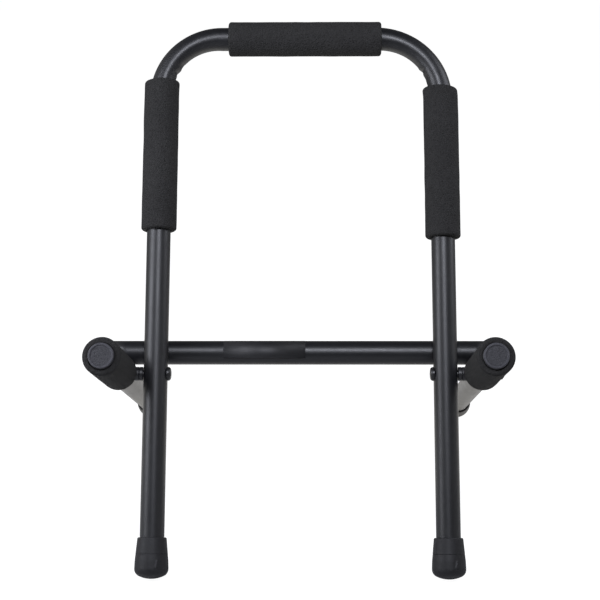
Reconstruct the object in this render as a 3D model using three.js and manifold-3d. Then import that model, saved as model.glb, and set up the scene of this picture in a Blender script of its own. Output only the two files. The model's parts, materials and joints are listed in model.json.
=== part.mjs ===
import * as THREE from 'three';
import { mergeVertices } from 'three/addons/utils/BufferGeometryUtils.js';
import Module from 'manifold-3d';

// A folding stand for a guitar amplifier, standing open.
// A back frame bent from one tube leans back on two feet, and a second frame of two arms
// and a crossbar turns on two bolts through its legs. The crossbar stops against the backs
// of the legs, above the bolts when the stand is open and below them when it is folded.
// Lengths are in millimetres. X runs to the right, seen from the front, Y to the rear and
// Z up. Left and right are those of someone who faces the front.

const wasm = await Module();
wasm.setup();

// Back frame
const frameTubeDiameter = 25;
const frameTubeWall = 2;
const legSpacing = 300;
const pivotToTopBar = 364;
const pivotToFrontSole = 207;
const leftBendRadius = 64.5;
const rightBendRadius = 69;
const bendFlattening = 2;

// Arms and crossbar
const armTubeDiameter = 25;
const armTubeWall = 2;
const legToArmGap = 11.5;
const pivotToRearSole = 313;
const crossbarDiameter = 25;
const crossbarWall = 2;
const weldDiameter = 18;
const weldThickness = 6;

// Foam grips
const foamDiameter = 37.2;
const foamEndRounding = 3;
const topFoamLength = 164;
const topFoamOffset = 3.7;
const sideFoamLength = 164;
const pivotToLeftFoam = 151.7;
const pivotToRightFoam = 143.5;
const leftFoamGive = 0.2;
const rightFoamGive = 0.9;
const pivotToArmFoam = 13;
const armFoamLength = 130;
const armFoamSetback = 1;

// Rubber feet
const footLength = 41;
const footBaseDiameter = 34.6;
const footShoulderDiameter = 34;
const footShoulderHeight = 18;
const footCollarDiameter = 29.8;
const footLipRounding = 1.2;
const footRounding = 8;
const footCrownRadius = 30;
const footSoleThickness = 7;
const footFlatDepth = 0.6;

// Tube end plugs
const plugHeadThickness = 3.2;
const plugRounding = 1.2;
const plugRimInset = 0.1;
const plugShankLength = 14;

// Pivot hardware
const boltDiameter = 8;
const boltHeadDiameter = 14.4;
const boltHeadHeight = 4.5;
const boltSeatDepth = 1.2;
const boltKeySize = 5;
const boltKeyDepth = 2.6;
const boltEndLength = 1;
const legWasherDiameter = 14.4;
const legWasherThickness = 3.7;
const spacerDiameter = 14.4;
const outerWasherDiameter = 16;
const outerWasherThickness = 1.6;
const nutAcrossFlats = 13;
const nutHeight = 8;
const nutCollarDiameter = 11.4;
const nutCollarHeight = 1.8;

// Blank label on the crossbar
const labelLength = 86;
const labelHeight = 24;
const labelThickness = 0.3;
const labelCentre = -38;
const labelTilt = THREE.MathUtils.degToRad(20);

// Clearances
const slipGap = 0.3;
const boltHoleGap = 0.3;
const cutOvershoot = 10;

// Facets
const tubeSides = 24;
const footSides = 20;
const hardwareSides = 16;
const bendSteps = 8;
const roundingSteps = 3;

const frameRadius = frameTubeDiameter / 2;
const armRadius = armTubeDiameter / 2;
const crossbarRadius = crossbarDiameter / 2;
const foamRadius = foamDiameter / 2;
const footRadius = footBaseDiameter / 2;
const footCornerOffset = footRadius - footRounding;
const footCrownAngle = Math.asin(footCornerOffset / (footCrownRadius - footRounding));
const footCornerHeight =
  footCrownRadius - (footCrownRadius - footRounding) * Math.cos(footCrownAngle);
const boltRadius = boltDiameter / 2;
const boltHoleRadius = boltRadius + boltHoleGap;
const legOffset = legSpacing / 2;
const armOffset = legOffset + frameRadius + legToArmGap + armRadius;
const crossbarToLegs = frameRadius + slipGap + crossbarRadius;
const crossbarToArms = armRadius + slipGap + crossbarRadius;
const pivotToArmEnd = pivotToArmFoam + armFoamLength + armFoamSetback;

// Both frames are square to each other, and all four feet stand on the floor.
const footReach = footCornerHeight + footCornerOffset;
const leanAngle = Math.atan2(pivotToFrontSole - footReach, pivotToRearSole - footReach);
const pivotHeight =
  (pivotToFrontSole - footCornerHeight) * Math.cos(leanAngle) +
  footCornerOffset * Math.sin(leanAngle) +
  footRounding - footFlatDepth;

const finishes = {
  powderCoat: { color: 0x26272a, roughness: 0.42, metalness: 0.0 },
  foam: { color: 0x1d1d1f, roughness: 0.95, metalness: 0.0 },
  rubber: { color: 0x161617, roughness: 0.7, metalness: 0.0 },
  plastic: { color: 0x343438, roughness: 0.55, metalness: 0.0 },
  blackSteel: { color: 0x1b1b1d, roughness: 0.35, metalness: 0.9 },
  label: { color: 0x171719, roughness: 0.6, metalness: 0.0 },
};

function piece(name, geometry, finish) {
  const mesh = new THREE.Mesh(geometry, new THREE.MeshStandardMaterial(finishes[finish]));
  mesh.name = name;
  return mesh;
}

// ---- Booleans ----

function toSolid(geometry) {
  const bare = geometry.clone();
  bare.deleteAttribute('normal');
  bare.deleteAttribute('uv');
  const merged = mergeVertices(bare);
  return new wasm.Manifold(new wasm.Mesh({
    numProp: 3,
    vertProperties: Float32Array.from(merged.attributes.position.array),
    triVerts: Uint32Array.from(merged.index.array),
  }));
}

function toGeometry(solid) {
  const mesh = solid.getMesh();
  const geometry = new THREE.BufferGeometry();
  geometry.setAttribute('position', new THREE.BufferAttribute(mesh.vertProperties, 3));
  geometry.setIndex(new THREE.BufferAttribute(mesh.triVerts, 1));
  geometry.computeVertexNormals();
  return geometry;
}

function cutAway(geometry, ...cutters) {
  const whole = toSolid(geometry);
  return toGeometry(cutters.reduce((left, cutter) => left.subtract(toSolid(cutter)), whole));
}

// ---- Round shapes about the z axis ----

// Points of an arc on a profile, with angles from the outward radius.
function arc(radius, height, rounding, startAngle, endAngle) {
  const points = [];
  for (let step = 0; step <= roundingSteps; step += 1) {
    const angle = startAngle + (endAngle - startAngle) * step / roundingSteps;
    points.push([radius + rounding * Math.cos(angle), height + rounding * Math.sin(angle)]);
  }
  return points;
}

// A quarter circle that starts at an angle given in quarter turns.
function quarterRound(radius, height, rounding, startQuarter) {
  const startAngle = startQuarter * Math.PI / 2;
  return arc(radius, height, rounding, startAngle, startAngle + Math.PI / 2);
}

function turned(profile, sides) {
  const points = profile.map(([radius, height]) => new THREE.Vector2(radius, height));
  return new THREE.LatheGeometry(points, sides).rotateX(Math.PI / 2);
}

// A round bar from one height to another, with rings at heights between.
function rod(radius, from, to, between) {
  const rings = between
    .filter((height) => height > from && height < to)
    .map((height) => [radius, height]);
  return turned([[0, from], [radius, from], ...rings, [radius, to], [0, to]], tubeSides);
}

// A hollow cylinder from one height to another, with optional rings at heights between.
function sleeve({ outer, inner, from, to, rounding = 0, between = [], sides = tubeSides }) {
  const lowerEdge = rounding
    ? quarterRound(outer - rounding, from + rounding, rounding, -1) : [[outer, from]];
  const upperEdge = rounding
    ? quarterRound(outer - rounding, to - rounding, rounding, 0) : [[outer, to]];
  const outerRings = between
    .filter((height) => height > from + rounding && height < to - rounding)
    .map((height) => [outer, height]);
  const innerRings = between
    .filter((height) => height > from && height < to)
    .map((height) => [inner, height])
    .reverse();
  return turned([
    [inner, from], ...lowerEdge, ...outerRings, ...upperEdge, [inner, to], ...innerRings, [inner, from],
  ], sides);
}

// A cylinder along x, from one x to another, to cut with.
function crossDrill(radius, from, to) {
  return new THREE.CylinderGeometry(radius, radius, to - from, hardwareSides)
    .rotateZ(Math.PI / 2)
    .translate((from + to) / 2, 0, 0);
}

// ---- The back frame's centre line ----
// It is measured along the tube from the left pivot, up the left leg, over the top bar and
// down the right leg to the right pivot.

const leftBendStart = pivotToTopBar - leftBendRadius;
const leftBendEnd = leftBendStart + leftBendRadius * Math.PI / 2;
const rightBendStart = leftBendEnd + legSpacing - leftBendRadius - rightBendRadius;
const rightBendEnd = rightBendStart + rightBendRadius * Math.PI / 2;
const rightPivot = rightBendEnd + pivotToTopBar - rightBendRadius;

function centreLine(distance) {
  if (distance <= leftBendStart) {
    return { x: -legOffset, z: distance, angle: 0 };
  }
  if (distance <= leftBendEnd) {
    const angle = (distance - leftBendStart) / leftBendRadius;
    return {
      x: -legOffset + leftBendRadius * (1 - Math.cos(angle)),
      z: leftBendStart + leftBendRadius * Math.sin(angle),
      angle,
      flattening: bendFlattening * Math.sin(2 * angle),
    };
  }
  if (distance <= rightBendStart) {
    const x = -legOffset + leftBendRadius + distance - leftBendEnd;
    return { x, z: pivotToTopBar, angle: Math.PI / 2 };
  }
  if (distance <= rightBendEnd) {
    const turn = (distance - rightBendStart) / rightBendRadius;
    return {
      x: legOffset - rightBendRadius * (1 - Math.sin(turn)),
      z: pivotToTopBar - rightBendRadius * (1 - Math.cos(turn)),
      angle: Math.PI / 2 + turn,
      flattening: bendFlattening * Math.sin(2 * turn),
    };
  }
  return { x: legOffset, z: rightPivot - distance, angle: Math.PI };
}

const bendRings = [];
for (let step = 0; step <= bendSteps; step += 1) {
  bendRings.push(THREE.MathUtils.lerp(leftBendStart, leftBendEnd, step / bendSteps));
}
for (let step = 0; step <= bendSteps; step += 1) {
  bendRings.push(THREE.MathUtils.lerp(rightBendStart, rightBendEnd, step / bendSteps));
}

// Bends a straight shape, whose heights are distances along the tube, onto the centre line.
// The inside of each bend is a little flattened, as it is on a bent tube.
function alongFrame(geometry) {
  const position = geometry.attributes.position;
  for (let index = 0; index < position.count; index += 1) {
    const { x, z, angle, flattening = 0 } = centreLine(position.getZ(index));
    const across = position.getX(index);
    const inward = across > 0 ? across * (1 - flattening / frameRadius) : across;
    position.setX(index, x + inward * Math.cos(angle));
    position.setZ(index, z - inward * Math.sin(angle));
  }
  geometry.computeVertexNormals();
  return geometry;
}

// ---- Back frame pieces ----

function makeFrameTube() {
  const legEnd = pivotToFrontSole - footSoleThickness - slipGap;
  const tube = alongFrame(sleeve({
    outer: frameRadius,
    inner: frameRadius - frameTubeWall,
    from: -legEnd,
    to: rightPivot + legEnd,
    between: bendRings,
  }));
  const seat = legOffset - frameRadius + boltSeatDepth;
  const seatRadius = boltHeadDiameter / 2 + slipGap;
  const holeStart = legOffset - frameRadius - cutOvershoot;
  const holeEnd = legOffset + frameRadius + cutOvershoot;
  return cutAway(
    tube,
    crossDrill(boltHoleRadius, holeStart, holeEnd),
    crossDrill(boltHoleRadius, -holeEnd, -holeStart),
    crossDrill(seatRadius, holeStart, seat),
    crossDrill(seatRadius, -seat, -holeStart),
  );
}

function makeTopFoam() {
  const middle = leftBendEnd - leftBendRadius + legOffset + topFoamOffset;
  const start = middle - topFoamLength / 2;
  return alongFrame(sleeve({
    outer: foamRadius,
    inner: frameRadius + slipGap,
    from: start,
    to: start + topFoamLength,
    rounding: foamEndRounding,
    between: bendRings,
  }));
}

// A side foam reaches over the start of the bend, where it gives way sideways by a share of
// the tube's own curve and its end stays square to the leg. Its bore follows the tube.
function makeSideFoam(sign, start, bendRadius, give) {
  const bendStart = pivotToTopBar - bendRadius;
  const end = start + sideFoamLength;
  const overBend = end - bendStart;
  const outside = turned([
    [0, start],
    ...quarterRound(foamRadius - foamEndRounding, start + foamEndRounding, foamEndRounding, -1),
    [foamRadius, bendStart],
    [foamRadius, bendStart + overBend / 2],
    ...quarterRound(foamRadius - foamEndRounding, end - foamEndRounding, foamEndRounding, 0),
    [0, end],
  ], tubeSides).translate(sign * legOffset, 0, 0);
  const position = outside.attributes.position;
  for (let index = 0; index < position.count; index += 1) {
    const rise = Math.max(0, position.getZ(index) - bendStart);
    const curve = bendRadius - Math.sqrt(bendRadius ** 2 - rise ** 2);
    position.setX(index, position.getX(index) - sign * give * curve);
  }
  const boreStart = sign < 0 ? start : leftBendEnd;
  const boreEnd = sign < 0 ? rightBendStart : rightPivot - start;
  const bore = alongFrame(rod(
    frameRadius + slipGap, boreStart - cutOvershoot, boreEnd + cutOvershoot, bendRings,
  ));
  return cutAway(outside, bore);
}

// The foot's axis stands at the tilt from the vertical, and it is flat where it meets the floor.
function makeFoot(tilt, tubeRadius) {
  const bore = tubeRadius + slipGap;
  const base = turned([
    ...arc(0, footCrownRadius, footCrownRadius, -Math.PI / 2, footCrownAngle - Math.PI / 2),
    ...arc(
      footCornerOffset, footCornerHeight, footRounding, footCrownAngle - Math.PI / 2, 0,
    ).slice(1),
    [footShoulderDiameter / 2, footShoulderHeight],
    [footCollarDiameter / 2, footLength - footLipRounding],
    [footCollarDiameter / 2 - footLipRounding, footLength],
    [bore, footLength],
    [bore, footSoleThickness],
    [0, footSoleThickness],
  ], footSides);
  const floorLevel =
    footCornerHeight * Math.cos(tilt) -
    footCornerOffset * Math.abs(Math.sin(tilt)) -
    footRounding + footFlatDepth;
  const floorSize = footLength + footBaseDiameter;
  const floor = new THREE.BoxGeometry(floorSize, floorSize, floorSize)
    .translate(0, 0, floorLevel - floorSize / 2)
    .rotateX(tilt);
  return cutAway(base, floor);
}

// ---- Arm frame pieces, each along z with the arm's front end up ----

function makeArmTube() {
  const tube = sleeve({
    outer: armRadius,
    inner: armRadius - armTubeWall,
    from: footSoleThickness + slipGap - pivotToRearSole,
    to: pivotToArmEnd,
  });
  const holeReach = armRadius + cutOvershoot;
  return cutAway(tube, crossDrill(boltHoleRadius, -holeReach, holeReach));
}

function makeArmFoam() {
  return sleeve({
    outer: foamRadius,
    inner: armRadius + slipGap,
    from: pivotToArmFoam,
    to: pivotToArmFoam + armFoamLength,
    rounding: foamEndRounding,
  });
}

// A plug whose head covers the tube's end at height 0 and whose shank fills the bore.
function makePlug(tubeRadius, tubeWall) {
  const headRadius = tubeRadius - plugRimInset;
  const shankRadius = tubeRadius - tubeWall - slipGap;
  return turned([
    [0, -plugShankLength],
    [shankRadius, -plugShankLength],
    [shankRadius, slipGap],
    [headRadius, slipGap],
    ...quarterRound(
      headRadius - plugRounding, slipGap + plugHeadThickness - plugRounding, plugRounding, 0,
    ),
    [0, slipGap + plugHeadThickness],
  ], footSides);
}

function makeCrossbar(halfLength) {
  return sleeve({
    outer: crossbarRadius,
    inner: crossbarRadius - crossbarWall,
    from: -halfLength,
    to: halfLength,
  });
}

// The bead fills the wedge round the spot where the crossbar lies across the arm.
// The crossbar runs along x and the arm along z, and height 0 is half way between them.
function makeWeld() {
  const bead = new THREE.SphereGeometry(weldDiameter / 2, footSides, tubeSides / 2)
    .scale(1, weldThickness / weldDiameter, 1);
  const halfGap = slipGap / 2;
  const bar = crossDrill(crossbarRadius + slipGap, -weldDiameter, weldDiameter)
    .translate(0, crossbarRadius + halfGap, 0);
  const arm = crossDrill(armRadius + slipGap, -weldDiameter, weldDiameter)
    .rotateY(Math.PI / 2)
    .translate(0, -armRadius - halfGap, 0);
  return cutAway(bead, bar, arm);
}

// A strip of vinyl bent round the crossbar, which runs along z.
function makeLabel() {
  const inner = crossbarRadius + slipGap;
  const outer = inner + labelThickness;
  const halfAngle = labelHeight / outer / 2;
  const strip = new THREE.Shape();
  strip.absarc(0, 0, outer, -halfAngle, halfAngle, false);
  strip.absarc(0, 0, inner, halfAngle, -halfAngle, true);
  return new THREE.ExtrudeGeometry(strip, {
    depth: labelLength, bevelEnabled: false, curveSegments: bendSteps,
  }).translate(0, 0, -labelLength / 2);
}

// ---- Pivot hardware, each along z from the frame's middle plane outwards ----

const boltSeat = legOffset - frameRadius + boltSeatDepth - slipGap;
const legWasherStart = legOffset + frameRadius + slipGap;
const spacerStart = legWasherStart + legWasherThickness + slipGap;
const spacerEnd = armOffset - armRadius - slipGap;
const outerWasherStart = armOffset + armRadius + slipGap;
const nutStart = outerWasherStart + outerWasherThickness + slipGap;
const boltEnd = nutStart + nutHeight + boltEndLength;

function makeBolt() {
  const crown = boltHeadHeight / 2;
  const body = turned([
    [0, boltSeat - boltHeadHeight],
    [boltKeySize, boltSeat - boltHeadHeight],
    [boltHeadDiameter / 2 - crown / 2, boltSeat - boltHeadHeight + crown / 2],
    [boltHeadDiameter / 2, boltSeat - crown],
    [boltHeadDiameter / 2, boltSeat],
    [boltRadius, boltSeat],
    [boltRadius, boltEnd],
    [0, boltEnd],
  ], hardwareSides);
  const keyDepth = boltKeyDepth + cutOvershoot;
  const keyRadius = boltKeySize / Math.sqrt(3);
  const key = new THREE.CylinderGeometry(keyRadius, keyRadius, keyDepth, 6)
    .rotateX(Math.PI / 2)
    .translate(0, 0, boltSeat - boltHeadHeight + boltKeyDepth - keyDepth / 2);
  return cutAway(body, key);
}

function makeRing(outer, from, to) {
  return sleeve({ outer, inner: boltHoleRadius, from, to, sides: hardwareSides });
}

function makeNut() {
  const hexagonRadius = nutAcrossFlats / Math.sqrt(3);
  const hexagonHeight = nutHeight - nutCollarHeight;
  const hexagon = new THREE.CylinderGeometry(hexagonRadius, hexagonRadius, hexagonHeight, 6)
    .rotateX(Math.PI / 2)
    .translate(0, 0, nutStart + hexagonHeight / 2);
  const collar = new THREE.CylinderGeometry(
    nutCollarDiameter / 2, nutCollarDiameter / 2, nutHeight, hardwareSides,
  ).rotateX(Math.PI / 2).translate(0, 0, nutStart + nutHeight / 2);
  const bore = new THREE.CylinderGeometry(
    boltHoleRadius, boltHoleRadius, nutHeight + 2 * cutOvershoot, hardwareSides,
  ).rotateX(Math.PI / 2).translate(0, 0, nutStart + nutHeight / 2);
  return toGeometry(toSolid(hexagon).add(toSolid(collar)).subtract(toSolid(bore)));
}

// ---- Assembly ----

const sides = [
  { side: 'left', sign: -1 },
  { side: 'right', sign: 1 },
];

const backFrame = new THREE.Group();
backFrame.add(piece('back_frame_tube', makeFrameTube(), 'powderCoat'));

const leftFoam = makeSideFoam(-1, pivotToLeftFoam, leftBendRadius, leftFoamGive);
const rightFoam = makeSideFoam(1, pivotToRightFoam, rightBendRadius, rightFoamGive);
backFrame.add(piece('left_side_foam', leftFoam, 'foam'));
backFrame.add(piece('right_side_foam', rightFoam, 'foam'));
backFrame.add(piece('top_foam', makeTopFoam(), 'foam'));

for (const { side, sign } of sides) {
  const foot = piece(`${side}_front_foot`, makeFoot(leanAngle, frameRadius), 'rubber');
  foot.position.set(sign * legOffset, 0, -pivotToFrontSole);
  backFrame.add(foot);

  const hardware = new THREE.Group();
  hardware.rotation.y = sign * Math.PI / 2;
  const legWasher = makeRing(legWasherDiameter / 2, legWasherStart, legWasherStart + legWasherThickness);
  const spacer = makeRing(spacerDiameter / 2, spacerStart, spacerEnd);
  const outerWasher = makeRing(
    outerWasherDiameter / 2, outerWasherStart, outerWasherStart + outerWasherThickness,
  );
  hardware.add(piece(`${side}_pivot_bolt`, makeBolt(), 'blackSteel'));
  hardware.add(piece(`${side}_leg_washer`, legWasher, 'plastic'));
  hardware.add(piece(`${side}_pivot_spacer`, spacer, 'plastic'));
  hardware.add(piece(`${side}_outer_washer`, outerWasher, 'blackSteel'));
  hardware.add(piece(`${side}_lock_nut`, makeNut(), 'blackSteel'));
  backFrame.add(hardware);
}

// In the arm frame z points forwards along the arms and y up along the legs.
const armFrame = new THREE.Group();
armFrame.rotation.x = Math.PI / 2;

for (const { side, sign } of sides) {
  const arm = new THREE.Group();
  arm.position.x = sign * armOffset;
  const plug = piece(`${side}_arm_plug`, makePlug(armRadius, armTubeWall), 'plastic');
  plug.position.z = pivotToArmEnd;
  const foot = piece(`${side}_rear_foot`, makeFoot(leanAngle - Math.PI / 2, armRadius), 'rubber');
  foot.position.z = -pivotToRearSole;
  const weld = piece(`${side}_crossbar_weld`, makeWeld(), 'powderCoat');
  weld.position.set(0, armRadius + slipGap / 2, -crossbarToLegs);
  arm.add(piece(`${side}_arm_tube`, makeArmTube(), 'powderCoat'));
  arm.add(piece(`${side}_arm_foam`, makeArmFoam(), 'foam'));
  arm.add(plug, foot, weld);
  armFrame.add(arm);
}

const crossbarHalfLength = armOffset + armRadius;
const crossbar = new THREE.Group();
crossbar.position.set(0, crossbarToArms, -crossbarToLegs);
crossbar.rotation.y = Math.PI / 2;
crossbar.add(piece('crossbar_tube', makeCrossbar(crossbarHalfLength), 'powderCoat'));
for (const { side, sign } of sides) {
  const plug = piece(`${side}_crossbar_plug`, makePlug(crossbarRadius, crossbarWall), 'plastic');
  plug.position.z = sign * crossbarHalfLength;
  plug.rotation.x = sign > 0 ? 0 : Math.PI;
  crossbar.add(plug);
}
const label = piece('crossbar_label', makeLabel(), 'label');
label.position.z = labelCentre;
label.rotation.z = Math.PI - labelTilt;
crossbar.add(label);
armFrame.add(crossbar);

// The whole stand leans back about its pivots, and its origin is the middle of its base.
const leaning = new THREE.Group();
leaning.add(backFrame, armFrame);
leaning.position.z = pivotHeight;
leaning.rotation.x = -leanAngle;

const ampStand = new THREE.Group();
ampStand.add(leaning);
ampStand.updateMatrixWorld(true);
const extent = new THREE.Box3().setFromObject(ampStand, true);
leaning.position.y -= (extent.min.y + extent.max.y) / 2;

export default ampStand;
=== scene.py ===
"""A folding amp stand, standing open, with its finished surfaces.

The back frame leans back on two feet. Two arms on a crossbar turn on bolts through its legs.
Pieces are modelled in the stand's own leaning directions and then set in place: x runs to
the right, y to the rear along the arms and z up along the legs. Lengths are in metres.
"""
import json
import math

import bmesh
import bpy
from bpy.props import FloatProperty, FloatVectorProperty, IntProperty, PointerProperty
from mathutils import Matrix, Vector, noise


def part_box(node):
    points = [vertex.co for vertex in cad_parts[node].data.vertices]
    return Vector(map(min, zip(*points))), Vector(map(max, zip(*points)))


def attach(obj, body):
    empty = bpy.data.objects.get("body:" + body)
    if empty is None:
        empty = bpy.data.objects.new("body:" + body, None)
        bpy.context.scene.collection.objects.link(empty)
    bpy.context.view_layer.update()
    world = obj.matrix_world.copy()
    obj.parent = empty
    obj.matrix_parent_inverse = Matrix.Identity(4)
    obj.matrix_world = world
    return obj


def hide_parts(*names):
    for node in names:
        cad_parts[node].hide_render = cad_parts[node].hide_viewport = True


bl_info = {
    "name": "Folding Amp Stand",
    "version": (1, 0, 0),
    "blender": (4, 5, 0),
    "location": "3D View > Sidebar > Amp Stand",
    "description": "Builds a folding amp stand of bent tube with foam grips and rubber feet",
    "category": "Object",
}

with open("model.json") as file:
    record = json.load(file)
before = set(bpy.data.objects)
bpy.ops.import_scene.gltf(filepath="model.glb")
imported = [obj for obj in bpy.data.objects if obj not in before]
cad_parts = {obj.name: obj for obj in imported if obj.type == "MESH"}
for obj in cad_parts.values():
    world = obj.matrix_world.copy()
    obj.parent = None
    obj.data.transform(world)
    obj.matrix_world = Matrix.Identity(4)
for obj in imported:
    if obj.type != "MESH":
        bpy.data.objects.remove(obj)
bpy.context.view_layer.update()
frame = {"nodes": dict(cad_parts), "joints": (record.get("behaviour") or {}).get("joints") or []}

BACK_FRAME = "back_frame"
ARM_FRAME = "arm_frame"
SIDES = {"left": -1, "right": 1}
QUARTER = math.pi / 2
FULL_TURN = 2 * math.pi
SAME_POINT = 1e-6
SHARP_EDGE = math.radians(38)
# Attribute that marks where a finish is painted lighter: a painted highlight on raised rims, dots
# and marks.
PAINTED_HIGHLIGHT = "edge"


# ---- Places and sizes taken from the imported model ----

def middle(node):
    low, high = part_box(node)
    return (low + high) / 2


def measured(node, place):
    """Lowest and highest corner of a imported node, along the directions of a place."""
    into_place = place.inverted()
    points = [into_place @ vertex.co for vertex in frame["nodes"][node].data.vertices]
    low = Vector([min(point[axis] for point in points) for axis in range(3)])
    high = Vector([max(point[axis] for point in points) for axis in range(3)])
    return low, high


PIVOT = Vector(frame["joints"][0]["pos_m"])
TO_REAR = middle("left_arm_tube") - PIVOT
LEAN = math.atan2(-TO_REAR.z, TO_REAR.y)

# Up the legs, forwards along the arms, and outwards along the bolts.
STAND = Matrix.Translation(PIVOT) @ Matrix.Rotation(-LEAN, 4, "X")
ARMS = STAND @ Matrix.Rotation(QUARTER, 4, "X")
BOLTS = {side: STAND @ Matrix.Rotation(sign * QUARTER, 4, "Y") for side, sign in SIDES.items()}

TUBE_LOW, TUBE_HIGH = measured("back_frame_tube", STAND)
ARM_LOW, ARM_HIGH = measured("right_arm_tube", ARMS)
BAR_LOW, BAR_HIGH = measured("crossbar_tube", ARMS)
TUBE_RADIUS = (ARM_HIGH.x - ARM_LOW.x) / 2
ARM_OFFSET = (ARM_HIGH.x + ARM_LOW.x) / 2
LEG_OFFSET = TUBE_HIGH.x - TUBE_RADIUS
TOP_BAR = TUBE_HIGH.z - TUBE_RADIUS
CROSSBAR = (
    ARMS
    @ Matrix.Translation((0, (BAR_LOW.y + BAR_HIGH.y) / 2, (BAR_LOW.z + BAR_HIGH.z) / 2))
    @ Matrix.Rotation(QUARTER, 4, "Y")
)
LEG_PLACES = {
    side: STAND @ Matrix.Translation((sign * LEG_OFFSET, 0, 0)) for side, sign in SIDES.items()
}
ARM_PLACES = {
    side: ARMS @ Matrix.Translation((sign * ARM_OFFSET, 0, 0)) for side, sign in SIDES.items()
}


# ---- Sizes and colours that a user may change ----

def length(name, description, default):
    return FloatProperty(
        name=name, description=description, default=default, min=0, unit="LENGTH", precision=4
    )


def colour(name, description, default):
    return FloatVectorProperty(
        name=name, description=description, default=default, size=3, min=0, max=1, subtype="COLOR"
    )


class AmpStandTubes(bpy.types.PropertyGroup):
    radius: length("Tube radius", "Outer radius of every tube", TUBE_RADIUS)
    wall: length("Wall", "Wall thickness of every tube", 0.002)
    left_bend: length("Left bend", "Radius of the left bend, to the tube's middle", 0.0645)
    right_bend: length("Right bend", "Radius of the right bend, to the tube's middle", 0.069)
    flattening: length("Flattening", "How far the inside of each bend is flattened", 0.002)
    wrinkle: length("Wrinkle", "Height of the wrinkles inside the bends", 0.0009)
    sides: IntProperty(name="Sides", description="Faces round each tube", default=80, min=12)


class AmpStandFoam(bpy.types.PropertyGroup):
    rounding: length("Rounding", "Rounding of the cut ends", 0.003)
    squeeze: length("Squeeze", "Gap between the foam and its tube", 0.0001)
    mouth: length("Mouth", "Rounding where the tube comes out of the foam", 0.0016)
    waviness: length("Waviness", "Depth of the foam's unevenness", 0.00025)
    wave_length: length("Wave length", "Size of the foam's unevenness", 0.016)
    left_give: FloatProperty(
        name="Left give", description="Share of the bend that the left grip follows", default=0.2
    )
    right_give: FloatProperty(
        name="Right give", description="Share of the bend that the right grip follows", default=0.9
    )
    row: length("Row", "Distance between the rows of faces", 0.0025)
    sides: IntProperty(name="Sides", description="Faces round each grip", default=96, min=12)


class AmpStandFeet(bpy.types.PropertyGroup):
    shoulder: length("Shoulder", "Height of the widest part of the side", 0.018)
    collar_radius: length("Collar radius", "Radius at the open end", 0.0149)
    shoulder_radius: length("Shoulder radius", "Radius at the shoulder", 0.017)
    rounding: length("Rounding", "Rounding of the sole's edge", 0.008)
    crown: length("Crown", "Radius of the domed sole", 0.03)
    lip: length("Lip", "Rounding of the open end", 0.0012)
    sole: length("Sole", "Thickness under the tube", 0.007)
    gap: length("Gap", "Gap between a foot and its tube's end", 0.0003)
    squeeze: length("Squeeze", "Gap round the tube", 0.0001)
    seam: length("Seam", "Height of the fine seam round the side", 0.0245)
    seam_depth: length("Seam depth", "Depth of the seams", 0.00025)
    mark: length("Mark", "Height of the raised moulding mark", 0.0008)
    row: length("Row", "Distance between the rows of faces", 0.001)
    sides: IntProperty(name="Sides", description="Faces round each foot", default=144, min=12)


class AmpStandPlugs(bpy.types.PropertyGroup):
    rounding: length("Rounding", "Rounding of the head's edge", 0.0012)
    rim: length("Rim", "Width of the raised rim's flat top", 0.0008)
    rim_height: length("Rim height", "How far the rim stands above the face", 0.0007)
    head: length("Head", "Thickness of the plugs' heads", 0.0032)
    gap: length("Gap", "Gap between a plug and its tube", 0.0003)
    gate_mark: length("Gate mark", "Radius of the small moulding dot on the face", 0.0008)
    gate_height: length("Gate height", "Height of the small moulding dot", 0.0005)
    gate_reach: FloatProperty(
        name="Gate reach", description="Share of the radius at which the dot lies", default=0.56
    )
    row: length("Row", "Distance between the rings of faces", 0.0005)
    sides: IntProperty(name="Sides", description="Faces round each plug", default=96, min=12)


class AmpStandPivots(bpy.types.PropertyGroup):
    shank: length("Shank", "Radius of the bolts' shanks", 0.004)
    head: length("Head", "Height of the bolts' heads", 0.0045)
    key: length("Key", "Size of the hexagonal key, across its flats", 0.005)
    key_depth: length("Key depth", "Depth of the key hole", 0.0026)
    chamfer: length("Chamfer", "Chamfer on washers, nuts and bolts", 0.0004)
    collar: length("Collar", "Height of the collar on each nut", 0.0018)
    collar_radius: length("Collar radius", "Radius of the collar on each nut", 0.0057)
    ring_gap: length("Ring gap", "Gap between the rings and the bolts", 0.0003)
    thread_gap: length("Thread gap", "Gap between the nuts and the bolts", 0.0001)
    sides: IntProperty(name="Sides", description="Faces round each piece", default=64, min=12)


class AmpStandLabel(bpy.types.PropertyGroup):
    height: length("Height", "Width of the film round the crossbar", 0.024)
    thickness: length("Thickness", "Thickness of the film", 0.0002)
    corner: length("Corner", "Radius of the film's corners", 0.0015)
    lift: length("Lift", "Gap between the film and the crossbar", 0.00005)


class AmpStandColours(bpy.types.PropertyGroup):
    powder_coat: colour("Powder coat", "Coating of the tubes", (0.0075, 0.0078, 0.0092))
    foam: colour("Foam", "Foam of the grips", (0.0211, 0.0208, 0.0205))
    rubber: colour("Rubber", "Rubber of the feet", (0.009, 0.009, 0.0102))
    plug: colour("Plugs", "Plastic of the end plugs", (0.024, 0.024, 0.028))
    nylon: colour("Nylon", "Nylon of the washers and spacers", (0.012, 0.012, 0.014))
    fastener: colour("Fasteners", "Blackened steel of the bolts and nuts", (0.018, 0.018, 0.019))
    label: colour("Label", "Film of the blank label", (0.009, 0.009, 0.0105))


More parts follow.
